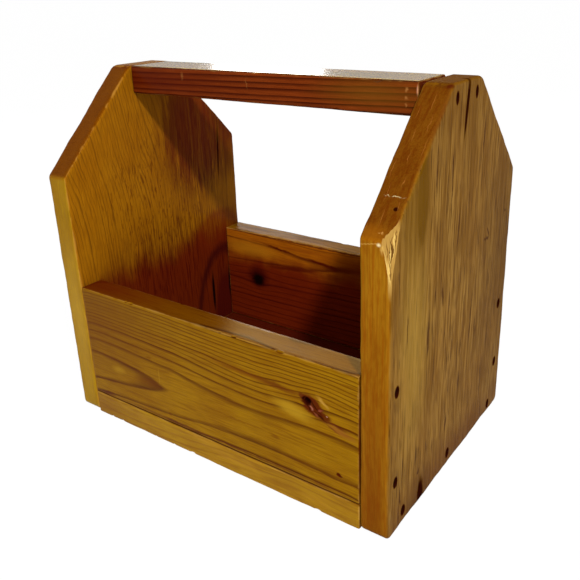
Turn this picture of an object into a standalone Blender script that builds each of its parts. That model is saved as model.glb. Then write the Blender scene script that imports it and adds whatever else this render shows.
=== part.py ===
"""Nailed wooden tool caddy: two end boards, a low tray between them and a bar handle.

Metres. X runs along the caddy, the front is -Y and Z is up. The origin is at the middle of
the footprint, on the floor.
"""

import math

import bmesh
import bpy
from mathutils import Matrix, Vector

# Tray
INNER_LENGTH = 0.242
BASE_THICK = 0.019
FRONT_THICK = 0.019
FRONT_HEIGHT = 0.0893
BACK_THICK = 0.019
BACK_HEIGHT = 0.0878

# End boards
END_THICK = 0.019
END_WIDTH = 0.184
END_HEIGHT = 0.2635
CORNER_CUT = 0.071
CUT_ANGLE = math.radians(45)
END_CORNER_R = 0.005
END_ARRIS_R = 0.0013

# The break at the upper front corner of the right end, measured from where that corner was
BREAK_UP_THE_CUT = 0.0135
BREAK_ALONG_X = 0.0075
BREAK_DOWN = 0.0265

# Handle
HANDLE_WIDTH = 0.038
HANDLE_HEIGHT = 0.0205
HANDLE_SHIFT_Y = -0.001
HANDLE_END_GAP = 0.003
HANDLE_ARRIS_R = 0.0018

BOARD_ARRIS_R = 0.001
FIT_GAP = 0.0003

# Nails
NAIL_LENGTH = 0.050
NAIL_HEAD_R = 0.0028
NAIL_HEAD_THICK = 0.0012
NAIL_NECK_LENGTH = 0.0014
NAIL_SHANK_R = 0.00145
NAIL_POINT_LENGTH = 0.0048
NAIL_TIP_R = 0.0003
NAIL_SET_DEPTH = 0.0014
NAIL_SIDES = 16

# Where the nails stand in the boards that they hold
FRONT_NAIL_FROM_BOTTOM = 0.0185
FRONT_NAIL_FROM_TOP = 0.0085
BACK_NAIL_FROM_BOTTOM = 0.021
BACK_NAIL_FROM_TOP = 0.0175
BACK_NAIL_FROM_INSIDE = 0.0073
BASE_NAIL_FROM_SIDE = 0.0205
BASE_NAIL_MID_Y = -0.0048
BASE_BACK_NAIL_Z = 0.0068
HANDLE_NAIL_FROM_SIDE = 0.0045
HANDLE_NAIL_FROM_TOP = 0.0087

ARC_STEPS = 6
ARRIS_STEPS = 3


def clear_scene():
    for obj in list(bpy.data.objects):
        bpy.data.objects.remove(obj, do_unlink=True)


def make_material(name, color, roughness, metallic=0.0):
    """A Principled material; color is linear RGB."""
    mat = bpy.data.materials.new(name)
    mat.use_nodes = True
    shader = mat.node_tree.nodes["Principled BSDF"]
    shader.inputs["Base Color"].default_value = (*color, 1.0)
    shader.inputs["Roughness"].default_value = roughness
    shader.inputs["Metallic"].default_value = metallic
    mat.diffuse_color = (*color, 1.0)
    return mat


def add_object(name, bm, mat=None):
    """Turn a bmesh into a named object at the world origin."""
    bmesh.ops.recalc_face_normals(bm, faces=bm.faces)
    mesh = bpy.data.meshes.new(name)
    bm.to_mesh(mesh)
    bm.free()
    obj = bpy.data.objects.new(name, mesh)
    bpy.context.scene.collection.objects.link(obj)
    if mat is not None:
        mesh.materials.append(mat)
    return obj


def rounded_outline(corners, radius):
    """Points of a convex polygon whose corners are arcs of one radius."""
    points = []
    count = len(corners)
    for i, corner in enumerate(corners):
        to_prev = (corners[i - 1] - corner).normalized()
        to_next = (corners[(i + 1) % count] - corner).normalized()
        half = to_prev.angle(to_next) / 2
        middle = corner + (to_prev + to_next).normalized() * radius / math.sin(half)
        start = corner + to_prev * radius / math.tan(half) - middle
        sweep = math.pi - 2 * half
        for step in range(ARC_STEPS + 1):
            turn = Matrix.Rotation(sweep * step / ARC_STEPS, 2)
            points.append(middle + turn @ start)
    return points


def add_arris(obj, radius):
    """Round the long edges of a board, but not the facets of its arcs."""
    bevel = obj.modifiers.new("arris", "BEVEL")
    bevel.width = radius
    bevel.segments = ARRIS_STEPS
    bevel.limit_method = "ANGLE"
    bevel.angle_limit = math.radians(35)
    bevel.use_clamp_overlap = True


def nail_profile(grow, head_reach):
    """Half section of a nail as (distance along it, radius), from the head to the tip.

    grow makes the profile of the hole that clears it, and head_reach carries that hole's head
    out through the face of the board.
    """
    neck_end = NAIL_HEAD_THICK + NAIL_NECK_LENGTH
    point_start = NAIL_LENGTH - NAIL_POINT_LENGTH
    return [
        (-head_reach, NAIL_HEAD_R + grow),
        (NAIL_HEAD_THICK + grow, NAIL_HEAD_R + grow),
        (neck_end + grow, NAIL_SHANK_R + grow),
        (point_start + grow, NAIL_SHANK_R + grow),
        (NAIL_LENGTH + grow, NAIL_TIP_R + grow),
    ]


def turned_nail(bm, profile, place):
    """Add a closed turned solid to bm. Its own axis is +X, moved by the matrix place."""
    rings = []
    for along, radius in profile:
        ring = []
        for i in range(NAIL_SIDES):
            angle = 2 * math.pi * i / NAIL_SIDES
            spot = Vector((along, radius * math.cos(angle), radius * math.sin(angle)))
            ring.append(bm.verts.new(place @ spot))
        rings.append(ring)
    for low, high in zip(rings, rings[1:]):
        for i in range(NAIL_SIDES):
            j = (i + 1) % NAIL_SIDES
            bm.faces.new((low[i], low[j], high[j], high[i]))
    bm.faces.new(rings[0])
    bm.faces.new(rings[-1])


def nail_spots():
    """Name and (y, z) of each nail, the same for both ends."""
    front_y = -END_WIDTH / 2 + FRONT_THICK / 2
    back_y = END_WIDTH / 2 - BACK_THICK + BACK_NAIL_FROM_INSIDE
    tray_z = BASE_THICK + FIT_GAP
    base_side = END_WIDTH / 2 - BASE_NAIL_FROM_SIDE
    handle_side = HANDLE_WIDTH / 2 - HANDLE_NAIL_FROM_SIDE
    handle_z = END_HEIGHT - HANDLE_NAIL_FROM_TOP
    return {
        "front_low": (front_y, tray_z + FRONT_NAIL_FROM_BOTTOM),
        "front_high": (front_y, tray_z + FRONT_HEIGHT - FRONT_NAIL_FROM_TOP),
        "back_low": (back_y, tray_z + BACK_NAIL_FROM_BOTTOM),
        "back_high": (back_y, tray_z + BACK_HEIGHT - BACK_NAIL_FROM_TOP),
        "base_front": (-base_side, BASE_THICK / 2),
        "base_mid": (BASE_NAIL_MID_Y, BASE_THICK / 2),
        "base_back": (base_side, BASE_BACK_NAIL_Z),
        "handle_front": (HANDLE_SHIFT_Y - handle_side, handle_z),
        "handle_back": (HANDLE_SHIFT_Y + handle_side, handle_z),
    }


def nail_place(side, y, z):
    """Matrix that sets a nail in an end board, head out, driven along X. side is -1 or 1."""
    head_x = side * (INNER_LENGTH / 2 + END_THICK - NAIL_SET_DEPTH)
    turn = Matrix.Rotation(math.pi, 4, "Z") if side > 0 else Matrix.Identity(4)
    return Matrix.Translation((head_x, y, z)) @ turn


def make_nails(mat):
    for side, side_name in ((-1, "left"), (1, "right")):
        for spot_name, (y, z) in nail_spots().items():
            bm = bmesh.new()
            turned_nail(bm, nail_profile(0.0, 0.0), nail_place(side, y, z))
            nail = add_object(f"nail_{side_name}_{spot_name}", bm, mat)
            nail.data.shade_smooth()
            nail.data.set_sharp_from_angle(angle=math.radians(30))


def cut_nail_holes(board, sides, spots):
    """Drill one board for the nails at the named spots of the given ends."""
    bm = bmesh.new()
    for side in sides:
        for spot_name in spots:
            y, z = nail_spots()[spot_name]
            profile = nail_profile(FIT_GAP, NAIL_SET_DEPTH + END_THICK)
            turned_nail(bm, profile, nail_place(side, y, z))
    cutter = add_object(board.name + "_holes", bm)
    cutter.display_type = "WIRE"
    cutter.hide_render = True
    cut = board.modifiers.new("nail holes", "BOOLEAN")
    cut.operation = "DIFFERENCE"
    cut.object = cutter
    cutter.hide_set(True)


def end_outline():
    """The end board's outline in (y, z): a board with both upper corners sawn off."""
    half = END_WIDTH / 2
    cut_z = END_HEIGHT - CORNER_CUT * math.tan(CUT_ANGLE)
    corners = [(-half, 0), (half, 0), (half, cut_z), (half - CORNER_CUT, END_HEIGHT),
               (CORNER_CUT - half, END_HEIGHT), (-half, cut_z)]
    return rounded_outline([Vector(corner) for corner in corners], END_CORNER_R)


def break_corner(bm, outer_x):
    """Split off the upper front corner at the outer face, where the grain let a piece go."""
    corner_y = -END_WIDTH / 2
    corner_z = END_HEIGHT - CORNER_CUT * math.tan(CUT_ANGLE)
    up_y = corner_y + BREAK_UP_THE_CUT * math.cos(CUT_ANGLE)
    up_z = corner_z + BREAK_UP_THE_CUT * math.sin(CUT_ANGLE)
    up = Vector((outer_x, up_y, up_z))
    across = Vector((outer_x - BREAK_ALONG_X, corner_y, corner_z))
    down = Vector((outer_x, corner_y, corner_z - BREAK_DOWN))
    normal = (across - up).cross(down - up).normalized()
    if normal.x < 0:
        normal.negate()
    everything = bm.verts[:] + bm.edges[:] + bm.faces[:]
    result = bmesh.ops.bisect_plane(bm, geom=everything, plane_co=up, plane_no=normal, clear_outer=True)
    rim = [part for part in result["geom_cut"] if isinstance(part, bmesh.types.BMEdge)]
    bmesh.ops.contextual_create(bm, geom=rim)


def make_end(name, side, mat):
    """An end board, standing against the tray on the side -1 or 1."""
    outline = end_outline()
    inner_x = side * INNER_LENGTH / 2
    bm = bmesh.new()
    face = bm.faces.new([bm.verts.new((inner_x, y, z)) for y, z in outline])
    extruded = bmesh.ops.extrude_face_region(bm, geom=[face])
    moved = [part for part in extruded["geom"] if isinstance(part, bmesh.types.BMVert)]
    bmesh.ops.translate(bm, verts=moved, vec=(side * END_THICK, 0, 0))
    if side > 0:
        break_corner(bm, inner_x + END_THICK)
    end = add_object(name, bm, mat)
    add_arris(end, END_ARRIS_R)
    cut_nail_holes(end, (side,), nail_spots())
    return end


def make_board(name, low, high, arris, mat, spots):
    """A straight board between two opposite corners, nailed at both ends."""
    bm = bmesh.new()
    size = [top - bottom for bottom, top in zip(low, high)]
    middle = [(top + bottom) / 2 for bottom, top in zip(low, high)]
    place = Matrix.Translation(middle) @ Matrix.Diagonal((*size, 1.0))
    bmesh.ops.create_cube(bm, size=1.0, matrix=place)
    board = add_object(name, bm, mat)
    add_arris(board, arris)
    cut_nail_holes(board, (-1, 1), spots)
    return board


def make_tray(materials):
    half_x = INNER_LENGTH / 2 - FIT_GAP
    half_y = END_WIDTH / 2
    wall_z = BASE_THICK + FIT_GAP
    make_board("base_board", (-half_x, -half_y, 0), (half_x, half_y, BASE_THICK), BOARD_ARRIS_R,
               materials["base_board"], ("base_front", "base_mid", "base_back"))
    make_board("front_board", (-half_x, -half_y, wall_z),
               (half_x, -half_y + FRONT_THICK, wall_z + FRONT_HEIGHT), BOARD_ARRIS_R,
               materials["front_board"], ("front_low", "front_high"))
    make_board("back_board", (-half_x, half_y - BACK_THICK, wall_z),
               (half_x, half_y, wall_z + BACK_HEIGHT), BOARD_ARRIS_R,
               materials["back_board"], ("back_low", "back_high"))


def make_handle(mat):
    """The carrying bar, tight to the left end and a little short of the right one."""
    low = (-INNER_LENGTH / 2 + FIT_GAP, HANDLE_SHIFT_Y - HANDLE_WIDTH / 2, END_HEIGHT - HANDLE_HEIGHT)
    high = (INNER_LENGTH / 2 - HANDLE_END_GAP, HANDLE_SHIFT_Y + HANDLE_WIDTH / 2, END_HEIGHT)
    make_board("handle", low, high, HANDLE_ARRIS_R, mat, ("handle_front", "handle_back"))


def main():
    clear_scene()
    materials = {
        "left_end": make_material("left_end", (0.250, 0.102, 0.012), 0.35),
        "right_end": make_material("right_end", (0.215, 0.110, 0.032), 0.38),
        "front_board": make_material("front_board", (0.300, 0.140, 0.014), 0.32),
        "back_board": make_material("back_board", (0.220, 0.075, 0.010), 0.35),
        "base_board": make_material("base_board", (0.290, 0.130, 0.014), 0.36),
        "handle": make_material("handle", (0.165, 0.038, 0.008), 0.30),
    }
    make_end("left_end", -1, materials["left_end"])
    make_end("right_end", 1, materials["right_end"])
    make_tray(materials)
    make_handle(materials["handle"])
    make_nails(make_material("nail_steel", (0.035, 0.020, 0.014), 0.6, 0.8))


main()
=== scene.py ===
"""Looks of the nailed wooden tool caddy: worn varnished pine boards and rusty set nails.

Metres, in the frame's own axes: X runs along the caddy, the front is -Y and Z is up. Where a
value is in millimetres, its name ends in mm or its comment says so.
"""
import math
import random
from collections import namedtuple
from functools import partial, reduce
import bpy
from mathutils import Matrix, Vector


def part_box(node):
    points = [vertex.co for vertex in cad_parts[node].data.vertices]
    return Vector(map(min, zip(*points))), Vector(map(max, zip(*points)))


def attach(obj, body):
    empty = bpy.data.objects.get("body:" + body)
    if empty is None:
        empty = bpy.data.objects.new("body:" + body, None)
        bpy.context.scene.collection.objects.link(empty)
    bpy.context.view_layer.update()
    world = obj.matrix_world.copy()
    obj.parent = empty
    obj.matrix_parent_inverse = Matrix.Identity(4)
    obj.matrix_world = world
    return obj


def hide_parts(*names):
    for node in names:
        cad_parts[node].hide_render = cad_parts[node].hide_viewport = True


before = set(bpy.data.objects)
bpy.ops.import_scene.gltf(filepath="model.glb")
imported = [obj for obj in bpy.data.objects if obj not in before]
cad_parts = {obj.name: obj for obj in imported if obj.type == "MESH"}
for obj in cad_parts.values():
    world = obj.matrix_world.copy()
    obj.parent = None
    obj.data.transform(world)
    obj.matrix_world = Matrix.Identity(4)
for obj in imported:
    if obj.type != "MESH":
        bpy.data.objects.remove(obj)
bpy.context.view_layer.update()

from types import SimpleNamespace

import bmesh
import bpy
from bpy.props import FloatProperty, FloatVectorProperty, IntProperty, PointerProperty
from mathutils import Matrix, Vector, noise

bl_info = {
    "name": "Wooden tool caddy",
    "version": (1, 0, 0),
    "blender": (4, 5, 0),
    "location": "3D View > Sidebar > Caddy",
    "description": "Builds the visible boards, nails and studio of a nailed pine tool caddy",
    "category": "Object",
}

MM = 0.001

# Length of each end board's sides that its two upper corners took, level and upright alike
CORNER_CUT_MM = 71.0

# Room inside the tray up to just past the boards' faces, low and high on each axis
INSIDE_MM = ((-122.0, 122.0), (-73.9, 73.9), (18.6, 200.0))

# Directions that surfaces face
LEFT, RIGHT, FRONT, BACK, DOWN, UP = (-1, 0, 0), (1, 0, 0), (0, -1, 0), (0, 1, 0), (0, 0, -1), (0, 0, 1)
FRONT_SLOPE, BACK_SLOPE = (0, -0.7071, 0.7071), (0, 0.7071, 0.7071)

# Tint of the varnish's mirror light, which old amber varnish warms
AMBER_SHINE = (1.0, 0.52, 0.10)


def linear(colour):
    """Linear RGB of an sRGB hex colour. A colour that is linear already comes back as it is."""
    if not isinstance(colour, str):
        return tuple(colour)
    parts = [int(colour[i:i + 2], 16) / 255 for i in (1, 3, 5)]
    return tuple(c / 12.92 if c <= 0.04045 else ((c + 0.055) / 1.055) ** 2.4 for c in parts)


def hex_colour(name, description, hex_code):
    return FloatVectorProperty(name=name, description=description, subtype="COLOR", size=3,
                               min=0.0, max=1.0, default=linear(hex_code))


def length_mm(name, description, default, low, high):
    return FloatProperty(name=name, description=description + ", in mm", default=default, min=low, max=high)


class CaddyShape(bpy.types.PropertyGroup):
    """Wear of the boards' edges and faces."""
    arris_mm: length_mm("Board arris", "Mean radius of the boards' long edges", 1.1, 0.3, 3.0)
    end_arris_mm: length_mm("End board arris", "Mean radius of the end boards' edges", 2.0, 0.3, 3.0)
    handle_arris_mm: length_mm("Handle arris", "Mean radius of the handle's edges", 2.1, 0.5, 5.0)
    unevenness: FloatProperty(name="Uneven wear", description="How much an edge's radius varies along it",
                              default=0.45, min=0.0, max=0.9, subtype="FACTOR")
    hollow_mm: length_mm("Hollows", "Depth of the planed faces' shallow hollows", 0.18, 0.0, 0.25)
    corner_mm: length_mm("Corner radius", "Worn radius of the end boards' corners", 5.0, 4.2, 8.0)
    top_corner_mm: length_mm("Top corner radius", "The same at both ends of their flat tops", 9.0, 4.2, 14.0)
    seed: IntProperty(name="Seed", description="Places of the dents", default=7, min=0)


class CaddyColours(bpy.types.PropertyGroup):
    """Colours of the varnished boards, as the eye sees them in plain light."""
    front: hex_colour("Front board", "Golden early wood of the front board", "#986C08")
    front_line: hex_colour("Front board lines", "Its late wood lines", "#481A00")
    back: hex_colour("Back board", "Early wood of the back board", "#C26E0E")
    back_line: hex_colour("Back board lines", "Its late wood lines", "#5A2008")
    base: hex_colour("Base board", "Early wood of the base board", "#A87E16")
    base_line: hex_colour("Base board lines", "Its late wood lines", "#7A4A10")
    left: hex_colour("Left end", "Early wood of the left end", "#A0660A")
    left_line: hex_colour("Left end lines", "Its late wood lines", "#583006")
    right: hex_colour("Right end", "Early wood of the right end", "#926C2E")
    right_line: hex_colour("Right end lines", "Its late wood lines", "#5E3C14")
    handle: hex_colour("Handle", "Early wood of the handle", "#7C340E")
    handle_line: hex_colour("Handle lines", "Its late wood lines", "#300602")
    # Colour of worn edges, which also paints their highlights
    bare: hex_colour("Bare wood", "Wood where the varnish is gone", "#D2A552")
    rust: hex_colour("Nails", "Rusted nail heads", "#1A0804")


class CaddyStage(bpy.types.PropertyGroup):
    """Studio round the caddy."""
    sky: FloatProperty(name="Sky", description="Strength of the even white light from all sides",
                       default=0.6, min=0.0)
    key_power: FloatProperty(name="Key light", description="Power of the soft lamp at the right",
                             default=15.5, min=0.0, unit="POWER")
    key_size: FloatProperty(name="Key size", description="Side of the soft lamp", default=0.085, min=0.01,
                            unit="LENGTH")
    card_power: FloatProperty(name="Rear card", description="Power of the lamp that the handle's top mirrors",
                              default=5.4, min=0.0, unit="POWER")
    window_power: FloatProperty(name="Window card", description="Power of the card that only shines mirror",
                                default=12.0, min=0.0, unit="POWER")
    window_tint: hex_colour("Window card tint", "Warm tint of that card", "#FFDE78")
    floor: hex_colour("Floor", "Pale floor", "#F4F4F2")


# Meshes

def mesh_object(name, bm):
    bmesh.ops.recalc_face_normals(bm, faces=bm.faces)
    mesh = bpy.data.meshes.new(name)
    bm.to_mesh(mesh)
    bm.free()
    obj = bpy.data.objects.new(name, mesh)
    bpy.context.scene.collection.objects.link(obj)
    return obj


def loft(bm, rings):
    """Join rings of points, each with the same count, into a closed skin with flat ends."""
    made = [[bm.verts.new(p) for p in ring] for ring in rings]
    count = len(made[0])
    for low, high in zip(made, made[1:]):
        for i in range(count):
            j = (i + 1) % count
            bm.faces.new((low[i], low[j], high[j], high[i]))
    bm.faces.new(made[0])
    bm.faces.new(made[-1])


def wander(point, reach_mm, seed):
    """Smooth noise from -1 to 1 that changes over reach_mm."""
    spot = Vector(point) / (reach_mm * MM)
    return noise.noise(spot + Vector((seed * 17.3, seed * 5.1, seed * 9.7)))


def rounded(corners, radii, arc_steps, spacing):
    """Points round a convex outline with rounded corners, and each one's inward direction."""
    count = len(corners)
    arcs = []
    for i, (corner, radius) in enumerate(zip(corners, radii)):
        to_prev = (corners[i - 1] - corner).normalized()
        to_next = (corners[(i + 1) % count] - corner).normalized()
        half = to_prev.angle(to_next) / 2
        middle = corner + (to_prev + to_next).normalized() * radius / math.sin(half)
        start = corner + to_prev * radius / math.tan(half) - middle
        sweep = math.pi - 2 * half
        turned = [Matrix.Rotation(sweep * k / arc_steps, 2) @ start for k in range(arc_steps + 1)]
        arcs.append([(middle + arm, -arm / radius) for arm in turned])
    points = []
    for arc, following in zip(arcs, arcs[1:] + arcs[:1]):
        (a, inward), (b, _) = arc[-1], following[0]
        cuts = max(1, round((b - a).length / spacing))
        points += arc + [(a.lerp(b, k / cuts), inward) for k in range(1, cuts)]
    return points


def straight_board(name, low, high, arris_mm, seed, step_mm):
    """A planed board along X, with edges worn unevenly and faces that are not quite flat."""
    shape = bpy.context.scene.caddy_shape
    end_r, least_r, spacing = 0.8 * MM, 0.35 * MM, 2.6 * MM
    arc_steps, edge_cuts = 5, 3
    centre = [(a + b) / 2 for a, b in zip(low, high)]
    half_y, half_z = (high[1] - low[1]) / 2, (high[2] - low[2]) / 2
    stations = max(8, round((high[0] - low[0]) / (step_mm * MM)))

    # Each station along the board, and how much its rounded ends shrink there
    tip = [(end_r * (1 - math.cos(a)), end_r * (1 - math.sin(a))) for a in map(math.radians, (0, 30, 60, 90))]
    xs = [(low[0] + into, shrink) for into, shrink in tip]
    xs += [(low[0] + end_r + (high[0] - low[0] - 2 * end_r) * k / stations, 0.0) for k in range(1, stations)]
    xs += [(high[0] - into, shrink) for into, shrink in reversed(tip)]

    signs = ((-1, -1), (1, -1), (1, 1), (-1, 1))
    corners = [Vector((sy * half_y, sz * half_z)) for sy, sz in signs]
    rings = []
    for x, shrink in xs:
        ring = []
        radii = []
        for k, corner in enumerate(corners):
            bump = wander((x, *corner), 23, seed + k) + 0.5 * wander((x, *corner), 6, seed + k)
            radii.append(max(least_r, arris_mm * MM * (1 + shape.unevenness * bump)))
        for k, ((sy, sz), corner, r) in enumerate(zip(signs, corners, radii)):
            for step in range(arc_steps + 1):
                angle = math.radians((180 + 90 * k) % 360 + 90 * step / arc_steps)
                ring.append(Vector((corner.x - sy * r + r * math.cos(angle),
                                    corner.y - sz * r + r * math.sin(angle))))
            following = corners[(k + 1) % 4]
            along = (following - corner).normalized()
            a, b = corner + along * r, following - along * radii[(k + 1) % 4]
            cuts = max(2, round((following - corner).length / spacing))
            inward = Vector((-along.y, along.x))
            for cut in range(1, cuts):
                p = a.lerp(b, cut / cuts)
                edge = min(1.0, min(cut, cuts - cut) / edge_cuts)
                deep = shape.hollow_mm * MM * edge * (0.5 + 0.5 * wander((x, p.x, p.y), 45, seed + 31))
                ring.append(p + inward * deep)
        wide, tall = 1 - shrink / half_y, 1 - shrink / half_z
        rings.append([Vector((x, centre[1] + p.x * wide, centre[2] + p.y * tall)) for p in ring])
    bm = bmesh.new()
    loft(bm, rings)
    return mesh_object(name, bm)


def end_board(name, seed):
    """An upright end board with both upper corners sawn off, filling the same outline as the solid."""
    shape = bpy.context.scene.caddy_shape
    corner_steps, arris_steps, face_rings, side_rings = 8, 5, 26, 6
    spacing, reach = 2.2 * MM, 4.0 * MM
    # The faces are made of rings that close in on this place
    middle = Vector((0, 0.128))
    low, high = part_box(name)
    half, top = high.y, high.z
    cut = CORNER_CUT_MM * MM
    worn, top_worn = shape.corner_mm * MM, shape.top_corner_mm * MM
    corners = [Vector(c) for c in ((-half, 0), (half, 0), (half, top - cut), (half - cut, top),
                                   (cut - half, top), (-half, top - cut))]
    outline = rounded(corners, (worn, worn, worn, top_worn, top_worn, worn), corner_steps, spacing)
    stacks = []
    for face, (face_x, into) in enumerate(((low.x, 1), (high.x, -1))):
        radii = [max(0.5, shape.end_arris_mm * (1 + shape.unevenness * (
            wander((face_x, *p), 21, seed + face) + 0.6 * wander((face_x, *p), 6, seed + face)))) * MM
            for p, _ in outline]
        stack = []
        for k in range(face_rings):
            share = (k / (face_rings - 1)) ** 0.8
            fade = min(1.0, (1 - share) * 8)
            points = []
            for p, inward in outline:
                spot = middle.lerp(p + inward * reach, 0.02 + 0.98 * share)
                deep = shape.hollow_mm * MM * fade * (0.5 + 0.5 * wander((face_x, *spot), 50, seed + 9))
                points.append(Vector((face_x + into * deep, *spot)))
            stack.append(points)
        for k in range(arris_steps + 1):
            angle = math.radians(90 * k / arris_steps)
            stack.append([Vector((face_x + into * r * (1 - math.cos(angle)),
                                  *(p + inward * r * (1 - math.sin(angle)))))
                          for r, (p, inward) in zip(radii, outline)])
        stacks.append(stack)
    left, right = stacks
    between = [[a.lerp(b, k / side_rings) for a, b in zip(left[-1], right[-1])] for k in range(1, side_rings)]
    bm = bmesh.new()
    loft(bm, left + between + right[::-1])
    return mesh_object(name + "_board", bm)


# Cutters, which take wood away

def mouth_mm(name):
    """Half width of a nail hole's mouth, where the fibres closed in on the head, most at the handle."""
    return 1.9 if "handle" in name else 2.4


def nail_holes(bm, names, sides=24):
    """Stepped holes that clear the nails of the frame."""
    turns = [2 * math.pi * k / sides for k in range(sides)]
    for name in names:
        low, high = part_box(name)
        side = 1 if low.x > 0 else -1
        head_x = high.x if side > 0 else low.x
        y, z = (low.y + high.y) / 2, (low.z + high.z) / 2
        # Depth below the head's face, half width and half height, in mm, with 0.3 mm of play
        mouth = mouth_mm(name)
        rings = []
        for deep, wide, tall in ((-9, mouth, 3.1), (-0.2, mouth, 3.1), (-0.1, 3.1, 3.1), (1.5, 3.1, 3.1),
                                 (2.9, 1.75, 1.75), (45.2, 1.75, 1.75), (50.3, 0.6, 0.6)):
            x = head_x - side * deep * MM
            rings.append([Vector((x, y + wide * MM * math.cos(a), z + tall * MM * math.sin(a)))
                          for a in turns])
        loft(bm, rings)


def groove(bm, face_x, path, seed):
    """A V-shaped split in a face at x = face_x that looks right. path holds (y, z, width, depth) in mm."""
    outside = face_x + 0.8 * MM
    shake_mm, shake_reach_mm = 0.25, 3
    rings = []
    for y, z, width, depth in path:
        y += shake_mm * wander((0, y * MM, z * MM), shake_reach_mm, seed)
        rings.append([Vector((x, (y + off) * MM, z * MM)) for x, off in (
            (outside, -width / 2), (outside, width / 2), (face_x - depth * MM, 0.1 * width))])
    loft(bm, rings)


def pit(bm, centre_mm, radii_mm, seed):
    """A small rough hollow."""
    rough_share, rough_reach_mm = 0.22, 2.2
    place = Matrix.Translation(Vector(centre_mm) * MM) @ Matrix.Diagonal((*(r * MM for r in radii_mm), 1))
    made = bmesh.ops.create_icosphere(bm, subdivisions=2, radius=1.0, matrix=place)
    for vert in made["verts"]:
        away = vert.co - Vector(centre_mm) * MM
        vert.co += away * rough_share * wander(vert.co, rough_reach_mm, seed)


def dents(bm, low, high, count, seed, heights):
    """Small knocks along a board's long edges at the given heights, in metres, away from its ends."""
    draw = random.Random(seed)
    margin = 10 * MM
    for k in range(count):
        x = draw.uniform(low[0] + margin, high[0] - margin)
        y = draw.choice((low[1], high[1]))
        z = draw.choice(heights)
        size = draw.uniform(0.9, 1.9)
        pit(bm, (x / MM, y / MM, z / MM), (size * draw.uniform(1.2, 2.4), size, size), seed + k)


def rough_slab(bm, origin, across, along, normal, seed):
    """A block whose lower face is rough, as wood that split off along its fibres leaves it."""
    columns, rows = 76, 44
    wide, long, thick = 28 * MM, 66 * MM, 30 * MM
    grid = []
    for i in range(columns + 1):
        line = []
        for k in range(rows + 1):
            spot = origin + across * ((i / columns - 0.5) * wide) + along * ((k / rows - 0.5) * long)
            # Roughness in mm, fine across the upright fibres and long along them
            rough = 0.5 * wander((spot.x * 1.8, spot.y * 1.8, spot.z * 0.12), 2.0, seed)
            rough += 0.35 * wander((spot.x, spot.y, spot.z * 0.5), 7, seed + 3)
            line.append(bm.verts.new(spot + normal * rough * MM))
        grid.append(line)
    for one, two in zip(grid, grid[1:]):
        for k in range(rows):
            bm.faces.new((one[k], two[k], two[k + 1], one[k + 1]))
    sides = (grid[0], grid[-1])
    c00, c10, c01, c11 = (bm.verts.new(line[k].co + normal * thick) for k in (0, -1) for line in sides)
    bm.faces.new((c00, c10, c11, c01))
    for edge, corners in (([line[0] for line in grid], (c10, c00)), ([line[-1] for line in grid], (c11, c01)),
                          (grid[0], (c01, c00)), (grid[-1], (c11, c10))):
        bm.faces.new((*edge, *corners))


def cut_away(board, bm):
    """Take the cutter's solids out of the board, and shade the board."""
    sharp_angle, fewest_faces = math.radians(38), 100
    cutter = mesh_object("cutter", bm)
    change = board.modifiers.new("cut", "BOOLEAN")
    change.operation = "DIFFERENCE"
    change.solver = "EXACT"
    change.object = cutter
    shown = board.evaluated_get(bpy.context.evaluated_depsgraph_get())
    mesh = bpy.data.meshes.new_from_object(shown)
    board.modifiers.clear()
    old = board.data
    board.data = mesh
    bpy.data.meshes.remove(old)
    bpy.data.objects.remove(cutter)
    mesh.name = board.name
    mesh.shade_smooth()
    mesh.set_sharp_from_angle(angle=sharp_angle)
    if len(mesh.polygons) < fewest_faces:
        raise RuntimeError(f"cutting {board.name} left almost nothing of it")


def finish_board(board, bm, node, look):
    """Cut the board, give it its pine, and let it stand for its solid."""
    cut_away(board, bm)
    board.data.materials.clear()
    board.data.materials.append(varnished_pine(look))
    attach(board, "root")
    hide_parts(node)
    return {"FINISHED"}


# Materials

# Setting of a node that a word after its kind fills in
MODES = {"Math": "operation", "VectorMath": "operation", "MapRange": "interpolation_type",
         "Mix": "blend_type", "Mapping": "vector_type", "TexNoise": "noise_dimensions",
         "TexWhiteNoise": "noise_dimensions"}

# A stain, knot or scratch at its own place, in mm along, across and through its board. A ring
# above 0 colours only a band of that share round the oval's rim, and a direction in toward keeps
# the mark to surfaces that face it.
Mark = namedtuple("Mark", "centre sizes colour strength soft turn ragged ring toward",
                  defaults=(0.6, 0.0, True, 0.0, None))

# Grain-shaped noise of one size, in mm, that is full above high and gone below low. within is the
# (centre, half sizes) of an oval that it keeps to, and toward a direction that its surfaces face.
Layer = namedtuple("Layer", "size low high strength colour within toward", defaults=(None, None))


def add(tree, kind, *links, out=None, **named):
    """Add a node, and return its output of the name in out, or else the first one that it shows.

    kind may end in the node's mode, as in Math ADD. links holds a value or an output for each
    input that the node shows, in order. In named, a capital letter starts the name of an input,
    with _ for a blank, and a small one starts that of a setting. A Mix node mixes colours.
    """
    kind, _, mode = kind.partition(" ")
    node = tree.nodes.new("ShaderNode" + kind)
    if kind == "Mix":
        node.data_type = "RGBA"
    if mode:
        setattr(node, MODES[kind], mode)
    values = list(zip([socket for socket in node.inputs if socket.enabled], links))
    for key, value in named.items():
        if key[0].islower():
            setattr(node, key, value)
        else:
            values.append((node.inputs[key.replace("_", " ")], value))
    for socket, value in values:
        if isinstance(value, bpy.types.NodeSocket):
            tree.links.new(value, socket)
        else:
            socket.default_value = (*value, 1.0) if socket.type == "RGBA" else value
    return node.outputs[out] if out else next((socket for socket in node.outputs if socket.enabled), node)


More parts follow.
